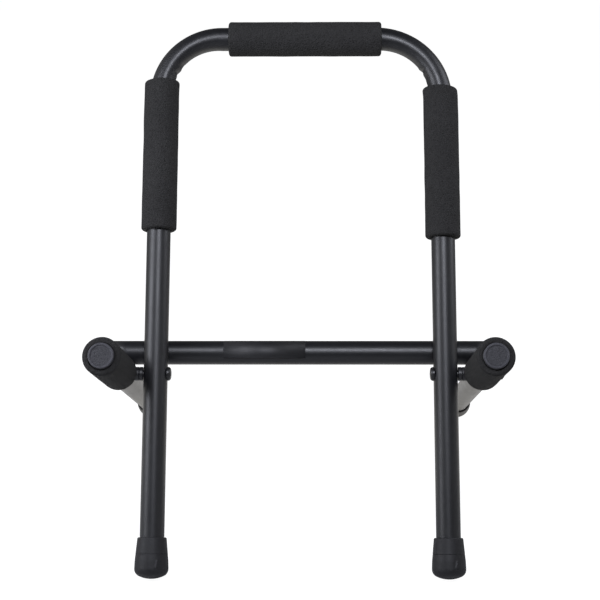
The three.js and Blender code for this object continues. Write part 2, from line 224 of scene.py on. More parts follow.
class AmpStandStage(bpy.types.PropertyGroup):
    camera_place: FloatVectorProperty(
        name="Camera place",
        description="Where the camera stands",
        default=(0.021741, -1.49834, 0.871316),
        size=3,
        subtype="TRANSLATION",
        unit="LENGTH",
    )
    camera_turn: FloatVectorProperty(
        name="Camera turn",
        description="How the camera is turned",
        default=[math.radians(angle) for angle in (69.70681, 0.32199, 0.73281)],
        size=3,
        subtype="EULER",
        unit="ROTATION",
    )
    lens: FloatProperty(name="Lens", description="Focal length in millimetres", default=91.677)
    rise: FloatProperty(
        name="Rise", description="Upward shift of the view, as a share of its width", default=-0.125
    )
    floor_radius: length("Floor radius", "Radius of the studio floor", 12.0)
    floor_glow: FloatProperty(
        name="Floor glow", description="Light that the pale floor gives by itself", default=0.965
    )
    floor_shadow: FloatProperty(
        name="Floor shadow", description="How much the shadows show on the floor", default=0.2
    )
    card_glow: FloatProperty(
        name="Card glow", description="Light thrown up by the floor behind the stand", default=0.68
    )
    floor_bounce: FloatProperty(
        name="Floor bounce", description="Share of the light that the floor throws up", default=0.52
    )


class AmpStandSettings(bpy.types.PropertyGroup):
    tubes: PointerProperty(type=AmpStandTubes)
    foam: PointerProperty(type=AmpStandFoam)
    feet: PointerProperty(type=AmpStandFeet)
    plugs: PointerProperty(type=AmpStandPlugs)
    pivots: PointerProperty(type=AmpStandPivots)
    label: PointerProperty(type=AmpStandLabel)
    colours: PointerProperty(type=AmpStandColours)
    stage: PointerProperty(type=AmpStandStage)


# ---- Shader node groups ----

def new_group(name, inputs, outputs):
    """An empty node group. Inputs and outputs are given as name: (socket type, default)."""
    group = bpy.data.node_groups.new(name, "ShaderNodeTree")
    for direction, sockets in (("INPUT", inputs), ("OUTPUT", outputs)):
        for label, (kind, default) in sockets.items():
            socket = group.interface.new_socket(name=label, in_out=direction, socket_type=kind)
            if default is not None:
                socket.default_value = default
    return group, group.nodes.new("NodeGroupInput"), group.nodes.new("NodeGroupOutput")


def noise_node(nodes, links, vector, scale, detail, roughness):
    texture = nodes.new("ShaderNodeTexNoise")
    texture.inputs["Detail"].default_value = detail
    texture.inputs["Roughness"].default_value = roughness
    links.new(vector, texture.inputs["Vector"])
    if isinstance(scale, bpy.types.NodeSocket):
        links.new(scale, texture.inputs["Scale"])
    else:
        texture.inputs["Scale"].default_value = scale
    return texture.outputs["Fac"]


def maths(nodes, links, operation, first, second):
    node = nodes.new("ShaderNodeMath")
    node.operation = operation
    for socket, value in zip(node.inputs, (first, second)):
        if isinstance(value, bpy.types.NodeSocket):
            links.new(value, socket)
        else:
            socket.default_value = value
    return node.outputs[0]


def surface_grain():
    """Fine relief of a coated or moulded surface: soft lumps, with sharper pits among them."""
    group = bpy.data.node_groups.get("Surface Grain")
    if group:
        return group
    group, inward, outward = new_group(
        "Surface Grain",
        {
            "Vector": ("NodeSocketVector", None),
            "Scale": ("NodeSocketFloat", 800.0),
            "Pits": ("NodeSocketFloat", 0.3),
        },
        {"Height": ("NodeSocketFloat", None), "Mask": ("NodeSocketFloat", None)},
    )
    nodes, links = group.nodes, group.links
    vector, scale = inward.outputs["Vector"], inward.outputs["Scale"]
    lumps = noise_node(nodes, links, vector, scale, 3.0, 0.55)
    cells = nodes.new("ShaderNodeTexVoronoi")
    cells.feature = "SMOOTH_F1"
    links.new(vector, cells.inputs["Vector"])
    links.new(scale, cells.inputs["Scale"])
    pits = maths(nodes, links, "MULTIPLY", cells.outputs["Distance"], inward.outputs["Pits"])
    relief = maths(nodes, links, "ADD", lumps, pits)
    links.new(relief, outward.inputs["Height"])
    mask = nodes.new("ShaderNodeMapRange")
    mask.inputs["From Min"].default_value = 0.35
    mask.inputs["From Max"].default_value = 0.8
    links.new(relief, mask.inputs["Value"])
    links.new(mask.outputs["Result"], outward.inputs["Mask"])
    return group


def handling_marks():
    """Broad, faint differences from handling and dust, with fine rubbed streaks in them."""
    group = bpy.data.node_groups.get("Handling Marks")
    if group:
        return group
    group, inward, outward = new_group(
        "Handling Marks",
        {
            "Vector": ("NodeSocketVector", None),
            "Scale": ("NodeSocketFloat", 20.0),
            "Low": ("NodeSocketFloat", 0.4),
            "High": ("NodeSocketFloat", 0.5),
        },
        {"Mask": ("NodeSocketFloat", None), "Value": ("NodeSocketFloat", None)},
    )
    nodes, links = group.nodes, group.links
    vector, scale = inward.outputs["Vector"], inward.outputs["Scale"]
    broad = noise_node(nodes, links, vector, scale, 4.0, 0.6)
    fine_scale = maths(nodes, links, "MULTIPLY", scale, 9.0)
    fine = noise_node(nodes, links, vector, fine_scale, 2.0, 0.5)
    both = maths(nodes, links, "MULTIPLY", broad, fine)
    mask = nodes.new("ShaderNodeMapRange")
    mask.inputs["From Min"].default_value = 0.15
    mask.inputs["From Max"].default_value = 0.4
    links.new(both, mask.inputs["Value"])
    links.new(mask.outputs["Result"], outward.inputs["Mask"])
    value = nodes.new("ShaderNodeMapRange")
    links.new(mask.outputs["Result"], value.inputs["Value"])
    links.new(inward.outputs["Low"], value.inputs["To Min"])
    links.new(inward.outputs["High"], value.inputs["To Max"])
    links.new(value.outputs["Result"], outward.inputs["Value"])
    return group


# ---- Materials ----

def finish(
    name, tint, roughness, grain_scale, pits, relief,
    fleck=0.25, spread=0.06, plain=None, highlight_gain=None,
):
    """A finish with grain relief, flecks of a lighter tint and uneven roughness.

    Plain holds values that are the same all over, for sockets of the surface shader. With a
    highlight gain, the finish is that much lighter where a piece's own edge attribute is 1:
    a painted highlight, standing in for light caught by raised rims, dots and marks.
    """
    made = bpy.data.materials.get(name)
    if made:
        return made
    made = bpy.data.materials.new(name)
    made.use_nodes = True
    nodes, links = made.node_tree.nodes, made.node_tree.links
    surface = nodes["Principled BSDF"]
    for socket, value in (plain or {}).items():
        surface.inputs[socket].default_value = value
    place = nodes.new("ShaderNodeTexCoord").outputs["Object"]

    grain = nodes.new("ShaderNodeGroup")
    grain.node_tree = surface_grain()
    grain.inputs["Scale"].default_value = grain_scale
    grain.inputs["Pits"].default_value = pits
    links.new(place, grain.inputs["Vector"])

    marks = nodes.new("ShaderNodeGroup")
    marks.node_tree = handling_marks()
    marks.inputs["Low"].default_value = roughness - spread
    marks.inputs["High"].default_value = roughness + spread
    links.new(place, marks.inputs["Vector"])
    links.new(marks.outputs["Value"], surface.inputs["Roughness"])

    flecks = nodes.new("ShaderNodeMix")
    flecks.data_type = "RGBA"
    flecks.inputs["A"].default_value = (*[part * (1 - fleck) for part in tint], 1)
    flecks.inputs["B"].default_value = (*[part * (1 + fleck) for part in tint], 1)
    grain_share, dust_share = 0.7, 0.3
    shade = maths(nodes, links, "MULTIPLY_ADD", grain.outputs["Mask"], grain_share)
    links.new(shade, flecks.inputs["Factor"])
    dust = maths(nodes, links, "MULTIPLY", marks.outputs["Mask"], dust_share)
    links.new(dust, shade.node.inputs[2])
    paint = flecks.outputs["Result"]
    # Painted highlight: the base colour is made lighter where the piece's edge attribute marks a
    # raised rim, dot or mark.
    if highlight_gain:
        highlighted = nodes.new("ShaderNodeAttribute")
        highlighted.attribute_name = PAINTED_HIGHLIGHT
        edges = nodes.new("ShaderNodeMix")
        edges.data_type = "RGBA"
        edges.inputs["B"].default_value = (*[part * highlight_gain for part in tint], 1)
        links.new(highlighted.outputs["Fac"], edges.inputs["Factor"])
        links.new(paint, edges.inputs["A"])
        paint = edges.outputs["Result"]
    links.new(paint, surface.inputs["Base Color"])

    bump = nodes.new("ShaderNodeBump")
    bump.inputs["Distance"].default_value = relief
    links.new(grain.outputs["Height"], bump.inputs["Height"])
    links.new(bump.outputs["Normal"], surface.inputs["Normal"])
    return made


def powder_coat(colours):
    return finish("Powder Coat", colours.powder_coat, 0.41, 1100, 0.2, 0.00004, 0.15, 0.03)


def foam(colours):
    plain = {"Specular IOR Level": 0.1}
    return finish("Closed Cell Foam", colours.foam, 0.9, 620, 0.9, 0.001, 0.5, 0.05, plain)


def rubber(colours):
    plain = {"Specular IOR Level": 0.34}
    # The foot's raised moulding mark is painted lighter, a painted highlight.
    return finish(
        "Foot Rubber", colours.rubber, 0.56, 900, 0.3, 0.00006, plain=plain, highlight_gain=2.2
    )


def plug_plastic(colours):
    plain = {"Specular IOR Level": 0.35}
    # The plugs' raised rims and moulding dots are painted lighter, a painted highlight.
    return finish(
        "Stippled Plastic", colours.plug, 0.55, 750, 0.8, 0.0006, 0.5, plain=plain, highlight_gain=2.0
    )


def nylon(colours):
    return finish("Black Nylon", colours.nylon, 0.42, 700, 0.2, 0.00003)


def black_steel(colours):
    plain = {"Metallic": 0.35, "Specular IOR Level": 0.6}
    return finish("Blackened Steel", colours.fastener, 0.36, 1300, 0.2, 0.00003, plain=plain)


def label_film(colours):
    return finish("Label Film", colours.label, 0.52, 1500, 0.1, 0.00001, fleck=0.1, spread=0.03)


# ---- Mesh tools ----

def arc(radius, height, size, start, end, steps):
    """Profile points of an arc about a point, between two angles from the outward radius."""
    angles = [start + (end - start) * step / steps for step in range(steps + 1)]
    return [(radius + size * math.cos(a), height + size * math.sin(a)) for a in angles]


def round_corner(radius, height, size, start, steps=6):
    """Profile points of a quarter circle, from an angle in quarter turns on."""
    return arc(radius, height, size, start * QUARTER, (start + 1) * QUARTER, steps)


def rows(start, end, step):
    """Profile points on a straight line between two points, the first left out."""
    first, last = Vector(start), Vector(end)
    count = max(1, math.ceil((last - first).length / step))
    return [tuple(first.lerp(last, index / count)) for index in range(1, count + 1)]


def lathe(profile, sides, closed=False):
    """Turns a profile of (radius, height) points about z."""
    bm = bmesh.new()
    verts = [bm.verts.new((radius, 0, height)) for radius, height in profile]
    pairs = list(zip(verts, verts[1:]))
    if closed:
        pairs.append((verts[-1], verts[0]))
    edges = [bm.edges.new(pair) for pair in pairs]
    bmesh.ops.spin(
        bm, geom=verts + edges, cent=(0, 0, 0), axis=(0, 0, 1), dvec=(0, 0, 0),
        angle=FULL_TURN, steps=sides, use_merge=True, use_normal_flip=False, use_duplicate=False,
    )
    bmesh.ops.remove_doubles(bm, verts=bm.verts, dist=SAME_POINT)
    bmesh.ops.recalc_face_normals(bm, faces=bm.faces)
    return bm


def circle(bm, radius, height, sides, x=0.0):
    """A ring of edges square to z."""
    place = Matrix.Translation((x, 0, height))
    made = bmesh.ops.create_circle(bm, cap_ends=False, radius=radius, segments=sides, matrix=place)
    return ring_edges(made["verts"])


def ring_edges(items):
    """The edges that join the vertices among some items."""
    verts = {item for item in items if isinstance(item, bmesh.types.BMVert)}
    touching = {edge for vert in verts for edge in vert.link_edges}
    return [edge for edge in touching if set(edge.verts) <= verts]


def pull(bm, edges, offset, steps=1):
    """Extrudes a ring of edges along an offset, in steps, and returns the last ring."""
    for _ in range(steps):
        made = bmesh.ops.extrude_edge_only(bm, edges=edges)["geom"]
        verts = [item for item in made if isinstance(item, bmesh.types.BMVert)]
        bmesh.ops.translate(bm, verts=verts, vec=Vector(offset) / steps)
        edges = ring_edges(verts)
    return edges


def bend(bm, edges, centre, angle, steps):
    """Spins a ring of edges about a y axis through the centre and returns the last ring."""
    made = bmesh.ops.spin(
        bm, geom=edges, cent=centre, axis=(0, 1, 0), dvec=(0, 0, 0), angle=angle, steps=steps,
        use_merge=False, use_normal_flip=False, use_duplicate=False,
    )
    return ring_edges(made["geom_last"])


def cap(bm, edges):
    bmesh.ops.edgeloop_fill(bm, edges=edges)


def add_piece(bm, node, place, material, body):
    """Sets a finished mesh in place, as an object that rides on a body instead of its node."""
    name = node + "_finish"
    bmesh.ops.transform(bm, matrix=place, verts=bm.verts)
    bmesh.ops.remove_doubles(bm, verts=bm.verts, dist=SAME_POINT)
    mesh = bpy.data.meshes.new(name)
    bm.to_mesh(mesh)
    bm.free()
    mesh.shade_smooth()
    mesh.set_sharp_from_angle(angle=SHARP_EDGE)
    mesh.materials.append(material)
    piece = bpy.data.objects.new(name, mesh)
    bpy.context.scene.collection.objects.link(piece)
    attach(piece, body)
    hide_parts(node)
    return piece


def thicken(piece, wall):
    """Gives an open tube its wall, inwards."""
    solid = piece.modifiers.new("Wall", "SOLIDIFY")
    solid.thickness = wall
    solid.offset = -1
    solid.use_even_offset = True
    return piece


# ---- Tubes ----

def flatten_bend(bm, corner, radius, sign, tubes, ridges):
    """Flattens the inside of a bend and wrinkles it.

    Each ridge has its angle from the bend's foot and its width, both in degrees, and its height
    as a share of the wrinkles' height. A height below 0 makes a dent.
    """
    for vert in bm.verts:
        out = (vert.co.x - corner.x) * sign
        up = vert.co.z - corner.z
        if out <= 0 or up <= 0:
            continue
        reach = math.hypot(out, up)
        inward = radius - reach
        if inward <= 0:
            continue
        angle = math.atan2(up, out)
        share = inward / tubes.radius
        shape = share * tubes.flattening * math.sin(2 * angle)
        for ridge_angle, ridge_width, ridge_height in ridges:
            away = (math.degrees(angle) - ridge_angle) / ridge_width
            shape -= tubes.wrinkle * ridge_height * math.exp(-away * away) * share ** 5
        factor = (reach + shape) / reach
        vert.co.x = corner.x + sign * out * factor
        vert.co.z = corner.z + up * factor


def make_back_frame_tube(tubes, material):
    bm = bmesh.new()
    leg_end = TUBE_LOW.z
    left_corner = Vector((tubes.left_bend - LEG_OFFSET, 0, TOP_BAR - tubes.left_bend))
    right_corner = Vector((LEG_OFFSET - tubes.right_bend, 0, TOP_BAR - tubes.right_bend))
    leg_rows, bend_steps, bar_rows = 24, 120, 8
    edges = circle(bm, tubes.radius, leg_end, tubes.sides, -LEG_OFFSET)
    edges = pull(bm, edges, (0, 0, left_corner.z - leg_end), leg_rows)
    edges = bend(bm, edges, left_corner, QUARTER, bend_steps)
    edges = pull(bm, edges, (right_corner.x - left_corner.x, 0, 0), bar_rows)
    edges = bend(bm, edges, right_corner, QUARTER, bend_steps)
    pull(bm, edges, (0, 0, leg_end - right_corner.z), leg_rows)
    left_ridges = ((28, 2.4, -1.3), (33.5, 2.6, 0.8), (40, 3, -0.4))
    right_ridges = ((24.5, 2.6, -0.4), (32.5, 2.2, -1.6), (36.5, 2, 0.5))
    flatten_bend(bm, left_corner, tubes.left_bend, -1, tubes, left_ridges)
    flatten_bend(bm, right_corner, tubes.right_bend, 1, tubes, right_ridges)
    bmesh.ops.recalc_face_normals(bm, faces=bm.faces)
    piece = add_piece(bm, "back_frame_tube", STAND, material, BACK_FRAME)
    thicken(piece, tubes.wall)


def make_straight_tube(node, place, start, end, tubes, material):
    bm = bmesh.new()
    tube_rows = 24
    edges = circle(bm, tubes.radius, start, tubes.sides)
    pull(bm, edges, (0, 0, end - start), tube_rows)
    bmesh.ops.recalc_face_normals(bm, faces=bm.faces)
    piece = add_piece(bm, node, place, material, ARM_FRAME)
    thicken(piece, tubes.wall)


def make_weld(side, material):
    """A bead laid round the spot where the crossbar crosses the arm, with the welder's ripples."""
    node = f"{side}_crossbar_weld"
    low, high = measured(node, ARMS)
    centre = (low + high) / 2
    size = (high - low) / 2
    bm = bmesh.new()
    bmesh.ops.create_uvsphere(bm, u_segments=64, v_segments=32, radius=1)
    ripple_count, ripple_depth, ripple_twist, flatness = 18, 0.035, 6, 0.9
    for vert in bm.verts:
        turn = math.atan2(vert.co.y, vert.co.x)
        swell = 1 + ripple_depth * math.sin(ripple_count * turn + ripple_twist * vert.co.z)
        vert.co.x *= swell
        vert.co.y *= swell
    bmesh.ops.scale(bm, vec=(size.x, size.z, size.y * flatness), verts=bm.verts)
    place = ARMS @ Matrix.Translation(centre) @ Matrix.Rotation(QUARTER, 4, "X")
    add_piece(bm, node, place, material, ARM_FRAME)


# ---- Foam grips ----

def foam_sleeve(settings, outer, bore, start, end):
    """A sleeve with rounded ends and mouths, in rows that are close enough to bend."""
    size, mouth = settings.rounding, settings.mouth
    profile = round_corner(bore + mouth, start + mouth, mouth, 2)
    profile += round_corner(outer - size, start + size, size, -1)
    profile += rows(profile[-1], (outer, end - size), settings.row)
    profile += round_corner(outer - size, end - size, size, 0)[1:]
    profile += round_corner(bore + mouth, end - mouth, mouth, 1)
    profile += rows(profile[-1], (bore, start + mouth), settings.row)[:-1]
    return lathe(profile, settings.sides, closed=True)


def follow_bend(bm, bore, outer, sign, bend_start, bend_radius, give):
    """Lets the bore follow the bent tube and the outside give way by a share of that."""
    for vert in bm.verts:
        rise = vert.co.z - bend_start
        if rise <= 0:
            continue
        curve = bend_radius - math.sqrt(bend_radius ** 2 - rise ** 2)
        radius = math.hypot(vert.co.x, vert.co.y)
        outside = min(1, max(0, (radius - bore) / (outer - bore)))
        tilt = math.asin(rise / bend_radius)
        vert.co.x *= 1 + (1 / math.cos(tilt) - 1) * (1 - outside)
        vert.co.x -= sign * curve * (1 + (give - 1) * outside)


def make_foam_grip(node, place, body, settings, material, tube_radius, bent=None):
    """A grip. Bent holds its tube's side, bend start and bend radius, and the share it follows."""
    low, high = measured(node, place)
    outer = (high.y - low.y) / 2
    bore = tube_radius + settings.squeeze
    bm = foam_sleeve(settings, outer, bore, low.z, high.z)
    if bent:
        follow_bend(bm, bore, outer, *bent)
    bm.normal_update()
    start = middle(node)
    for vert in bm.verts:
        if bent or math.hypot(vert.co.x, vert.co.y) > bore + settings.rounding:
            push = noise.noise((vert.co + start) / settings.wave_length)
            vert.co += vert.normal * settings.waviness * push
    piece = add_piece(bm, node, place, material, body)


# ---- Rubber feet ----

def foot_profile(feet, base_radius, height, bore):
    """The cup's section, from the middle of the sole round to the middle of the bore's floor."""
    side_start = (base_radius, feet.rounding)
    shoulder = (feet.shoulder_radius, feet.shoulder)
    lip_start = (feet.collar_radius, height - feet.lip)
    slope = (lip_start[0] - shoulder[0]) / (lip_start[1] - shoulder[1])
    seam_radius = shoulder[0] + (feet.seam - shoulder[1]) * slope
    groove, crease = feet.seam_depth, feet.seam_depth / 3
    corner = base_radius - feet.rounding
    meet = math.asin(corner / (feet.crown - feet.rounding))
    corner_height = feet.crown - (feet.crown - feet.rounding) * math.cos(meet)
    profile = arc(0, feet.crown, feet.crown, -QUARTER, meet - QUARTER, 12)
    profile += arc(corner, corner_height, feet.rounding, meet - QUARTER, 0, 12)[1:-1]
    profile += [
        (base_radius - crease, corner_height - crease),
        (base_radius - 2 * crease, corner_height),
        (base_radius, corner_height + 2 * crease),
    ]
    profile += rows(profile[-1], shoulder, feet.row)
    profile += rows(shoulder, (seam_radius, feet.seam - groove), feet.row)
    profile += [(seam_radius - groove, feet.seam), (seam_radius, feet.seam + groove)]
    profile += rows(profile[-1], lip_start, feet.row)
    lip = round_corner(feet.collar_radius - feet.lip, height - feet.lip, feet.lip, 0, 4)
    profile += lip[1:]
    profile += [(bore, height), (bore, feet.sole), (0, feet.sole)]
    return profile


def raise_mark(bm, feet, turn):
    """Raises a slanted moulding mark on the foot's side, at a turn about its axis, and marks it for
    a painted highlight.
    """
    low, high, half_width, slant = 0.0105, 0.0185, 0.0006, 0.2
    highlighted = bm.verts.layers.float.new(PAINTED_HIGHLIGHT)
    for vert in bm.verts:
        radius = math.hypot(vert.co.x, vert.co.y)
        if radius < feet.collar_radius or not low <= vert.co.z <= high:
            continue
        around = math.remainder(math.atan2(vert.co.y, vert.co.x) - turn, FULL_TURN) * radius
        away = (around - slant * (vert.co.z - (low + high) / 2)) / half_width
        share = math.exp(-away * away)
        push = feet.mark * share
        # The mark's share is kept for the finish, which paints the mark lighter: a painted
        # highlight.
        vert[highlighted] = share
        vert.co.x *= 1 + push / radius
        vert.co.y *= 1 + push / radius


def cut_at_floor(bm, place):
    """Cuts the sole flat where it stands on the floor."""
    level = Vector((0, 0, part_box("left_front_foot")[0].z))
    into_place = place.inverted()
    down = into_place.to_3x3() @ Vector((0, 0, -1))
    cut = bmesh.ops.bisect_plane(
        bm, geom=bm.verts[:] + bm.edges[:] + bm.faces[:], dist=SAME_POINT,
        plane_co=into_place @ level, plane_no=down, clear_outer=True, clear_inner=False,
    )
    cap(bm, [item for item in cut["geom_cut"] if isinstance(item, bmesh.types.BMEdge)])


def make_foot(node, place, body, feet, tube_radius, mark_turn, material):
    low, high = measured(node, place)
    base_radius = (high.x - low.x) / 2
    tube_end = TUBE_LOW.z if "front" in node else ARM_LOW.z
    base = tube_end - feet.sole - feet.gap
    bottom = place @ Matrix.Translation((0, 0, base))
    bore = tube_radius + feet.squeeze
    bm = lathe(foot_profile(feet, base_radius, high.z - base, bore), feet.sides)
    raise_mark(bm, feet, mark_turn)
    cut_at_floor(bm, bottom)
    add_piece(bm, node, bottom, material, body)


# ---- End plugs ----

def make_plug(node, place, plugs, tubes, gate_turn, material, flip=False):
    """A plug whose face lies a little below a raised rim, with a moulding dot on the face; the rim
    and the dot get a painted highlight.
    """
    if flip:
        place = place @ Matrix.Rotation(math.pi, 4, "X")
    low, high = measured(node, place)
    head_radius = (high.x - low.x) / 2
    face = high.z - plugs.rim_height
    corner = head_radius - plugs.rounding
    rim_inside = corner - plugs.rim
    face_radius = rim_inside - plugs.rim_height
    shank_radius = tubes.radius - tubes.wall - plugs.gap
    profile = [(0, face), *rows((0, face), (face_radius, face), plugs.row)]
    profile += [(rim_inside, high.z)]
    profile += round_corner(corner, high.z - plugs.rounding, plugs.rounding, 0, 8)[::-1]
    profile += [(head_radius, high.z - plugs.head), (shank_radius, high.z - plugs.head)]
    profile += [(shank_radius, low.z), (0, low.z)]
    bm = lathe(profile, plugs.sides)
    gate_radius = head_radius * plugs.gate_reach
    gate = Vector((math.cos(gate_turn), math.sin(gate_turn))) * gate_radius
    # Marks the rim fully and the dot by its share, for a painted highlight in the finish; the dot's
    # share also raises it.
    highlighted = bm.verts.layers.float.new(PAINTED_HIGHLIGHT)
    for vert in bm.verts:
        if vert.co.z < face - SAME_POINT:
            continue
        if vert.co.z > face + SAME_POINT:
            vert[highlighted] = 1
            continue
        away = (vert.co.xy - gate).length / plugs.gate_mark
        vert[highlighted] = math.exp(-away * away)
        vert.co.z += plugs.gate_height * vert[highlighted]
    add_piece(bm, node, place, material, ARM_FRAME)


# ---- Pivot hardware ----

def make_ring(node, side, pivots, material, chamfer):
    low, high = measured(node, BOLTS[side])
    outer = (high.x - low.x) / 2
    bore = pivots.shank + pivots.ring_gap
    profile = [
        (bore, low.z), (outer - chamfer, low.z), (outer, low.z + chamfer),
        (outer, high.z - chamfer), (outer - chamfer, high.z), (bore, high.z),
    ]
    bm = lathe(profile, pivots.sides, closed=True)
    add_piece(bm, node, BOLTS[side], material, BACK_FRAME)


def make_bolt(side, pivots, material):
    """A button head bolt whose head faces the middle of the stand, with a hexagonal key hole."""
    node = f"{side}_pivot_bolt"
    low, high = measured(node, BOLTS[side])
    radius = (high.x - low.x) / 2
    seat = low.z + pivots.head
    face_radius = pivots.key * 0.8
    straight_side, edge, key_sink = 0.0012, 0.0003, 0.0002
    crown, crown_steps = pivots.head - straight_side, 12
    profile = [(face_radius, low.z)]
    for step in range(1, crown_steps + 1):
        angle = step / crown_steps * QUARTER
        profile.append((
            face_radius + (radius - face_radius) * math.sin(angle),
            low.z + crown * (1 - math.cos(angle)),
        ))
    profile += [(radius, seat - edge), (radius - edge, seat), (pivots.shank, seat)]
    profile += [(pivots.shank, high.z - pivots.chamfer), (pivots.shank - pivots.chamfer, high.z)]
    profile += [(0, high.z)]
    bm = lathe(profile, pivots.sides)
    rim = [border for border in bm.edges if border.is_boundary]
    key = circle(bm, pivots.key / math.sqrt(3), low.z + key_sink, 6)
    bmesh.ops.bridge_loops(bm, edges=rim + key)
    bottom = pull(bm, key, (0, 0, pivots.key_depth))
    cap(bm, bottom)
    bmesh.ops.recalc_face_normals(bm, faces=bm.faces)
    add_piece(bm, node, BOLTS[side], material, BACK_FRAME)


def make_nut(side, pivots, material):
    """A hexagonal lock nut with chamfered corners and a round collar at its outer end."""
    node = f"{side}_lock_nut"
    low, high = measured(node, BOLTS[side])
    shoulder = high.z - pivots.collar
    corner_radius = (high.x - low.x) / 2
    bore = pivots.shank + pivots.thread_gap
    bm = bmesh.new()
    bottom = circle(bm, corner_radius, low.z, 6)
    cap(bm, bottom)
    top = pull(bm, bottom, (0, 0, shoulder - low.z))
    cap(bm, top)
    bmesh.ops.bevel(
        bm, geom=bm.edges[:], offset=pivots.chamfer, offset_type="OFFSET", segments=3,
        profile=0.5, affect="EDGES", material=-1,
    )
    collar = [
        (bore, shoulder), (pivots.collar_radius, shoulder - pivots.chamfer),
        (pivots.collar_radius, high.z - pivots.chamfer * 2),
        (pivots.collar_radius - pivots.chamfer * 2, high.z), (bore, high.z - pivots.chamfer),
    ]
    ring = lathe(collar, pivots.sides, closed=True)
    mesh = bpy.data.meshes.new("collar")
    ring.to_mesh(mesh)
    ring.free()
    bm.from_mesh(mesh)
    bpy.data.meshes.remove(mesh)
    bmesh.ops.recalc_face_normals(bm, faces=bm.faces)
    add_piece(bm, node, BOLTS[side], material, BACK_FRAME)


# ---- Label ----

def make_label(label, tube_radius, material):
    """A blank film, wrapped round the front of the crossbar."""
    node = "crossbar_label"
    low, high = measured(node, CROSSBAR)
    length_along = high.z - low.z
    facing = math.atan2((low.y + high.y) / 2, (low.x + high.x) / 2)
    inner = tube_radius + label.lift
    bm = bmesh.new()
    bmesh.ops.create_grid(bm, x_segments=1, y_segments=1, size=0.5)
    bmesh.ops.scale(bm, vec=(label.height, length_along, 1), verts=bm.verts)
    bmesh.ops.bevel(
        bm, geom=bm.verts[:], offset=label.corner, offset_type="OFFSET", segments=8,
        profile=0.5, affect="VERTICES", material=-1,
    )
    cuts = 28
    for cut in range(1, cuts):
        across = (cut / cuts - 0.5) * label.height
        bmesh.ops.bisect_plane(
            bm, geom=bm.verts[:] + bm.edges[:] + bm.faces[:], dist=SAME_POINT,
            plane_co=(across, 0, 0), plane_no=(1, 0, 0), clear_outer=False, clear_inner=False,
        )
    for vert in bm.verts:
        angle = facing + vert.co.x / inner
        along = (low.z + high.z) / 2 + vert.co.y
        vert.co = Vector((inner * math.cos(angle), inner * math.sin(angle), along))
    bmesh.ops.recalc_face_normals(bm, faces=bm.faces)
    bm.normal_update()
    first = bm.faces[:][0]
    if first.normal.dot(first.calc_center_median() * Vector((1, 1, 0))) < 0:
        bmesh.ops.reverse_faces(bm, faces=bm.faces)
    piece = add_piece(bm, node, CROSSBAR, material, ARM_FRAME)
    film = piece.modifiers.new("Film", "SOLIDIFY")
    film.thickness = label.thickness
    film.offset = 1


# ---- Stage ----

# Azimuth and elevation in degrees, distance, width and height in metres, and power in watts.
SOFT_BOXES = (
    ("front_soft_box", 5, 52, 2.0, 0.62, 0.5, 25),
    ("left_soft_box", -69, 28, 0.95, 0.36, 0.8, 6.1),
    ("right_soft_box", 100, 30, 1.0, 0.5, 0.7, 3.2),
)


def studio_floor(stage):
    """A floor that the camera sees nearly white, with a strip behind the stand that lights it."""
    material = bpy.data.materials.new("Studio Floor")
    material.use_nodes = True
    nodes, links = material.node_tree.nodes, material.node_tree.links
    bounce = nodes["Principled BSDF"]
    bounce.inputs["Base Color"].default_value = (*[stage.floor_bounce] * 3, 1)
    seen = nodes.new("ShaderNodeBsdfPrincipled")
    seen.inputs["Base Color"].default_value = (*[stage.floor_shadow] * 3, 1)
    seen.inputs["Emission Color"].default_value = (1, 1, 1, 1)
    seen.inputs["Emission Strength"].default_value = stage.floor_glow
    for surface in (bounce, seen):
        surface.inputs["Roughness"].default_value = 0.95
        surface.inputs["Specular IOR Level"].default_value = 0.0
    card_colour = (1, 0.96, 0.87, 1)
    bounce.inputs["Emission Color"].default_value = card_colour
    place = nodes.new("ShaderNodeSeparateXYZ")
    links.new(nodes.new("ShaderNodeTexCoord").outputs["Object"], place.inputs["Vector"])
    card = stage.card_glow
    front_edge, rear_edge = (-0.1, 0.1), (0.75, 0.4)
    for start, full in (front_edge, rear_edge):
        edge = nodes.new("ShaderNodeMapRange")
        edge.interpolation_type = "SMOOTHSTEP"
        edge.inputs["From Min"].default_value = start
        edge.inputs["From Max"].default_value = full
        links.new(place.outputs["Y"], edge.inputs["Value"])
        card = maths(nodes, links, "MULTIPLY", card, edge.outputs["Result"])
    links.new(card, bounce.inputs["Emission Strength"])
    switch = nodes.new("ShaderNodeMixShader")
    links.new(nodes.new("ShaderNodeLightPath").outputs["Is Camera Ray"], switch.inputs["Fac"])
    links.new(bounce.outputs["BSDF"], switch.inputs[1])
    links.new(seen.outputs["BSDF"], switch.inputs[2])
    links.new(switch.outputs["Shader"], nodes["Material Output"].inputs["Surface"])
    bm = bmesh.new()
    below_feet = 0.0004
    bmesh.ops.create_circle(
        bm, cap_ends=True, segments=96, radius=stage.floor_radius,
        matrix=Matrix.Translation((0, 0, -below_feet)),
    )
    mesh = bpy.data.meshes.new("studio_floor")
    bm.to_mesh(mesh)
    bm.free()
    mesh.materials.append(material)
    floor = bpy.data.objects.new("studio_floor", mesh)
    bpy.context.scene.collection.objects.link(floor)


def soft_light(name, azimuth, elevation, distance, width, height, power):
    """A soft box that faces the stand. Azimuth 0 is in front of it and 90 to its right."""
    target, daylight = Vector((0, 0, 0.22)), (0.93, 0.955, 1.06)
    a, e = math.radians(azimuth), math.radians(elevation)
    away = Vector((math.sin(a) * math.cos(e), -math.cos(a) * math.cos(e), math.sin(e)))
    light = bpy.data.lights.new(name, "AREA")
    light.shape = "RECTANGLE"
    light.size = width
    light.size_y = height
    light.energy = power
    light.color = daylight
    holder = bpy.data.objects.new(name, light)
    holder.location = target + away * distance
    holder.rotation_euler = (-away).to_track_quat("-Z", "Y").to_euler()
    holder.visible_camera = False
    bpy.context.scene.collection.objects.link(holder)


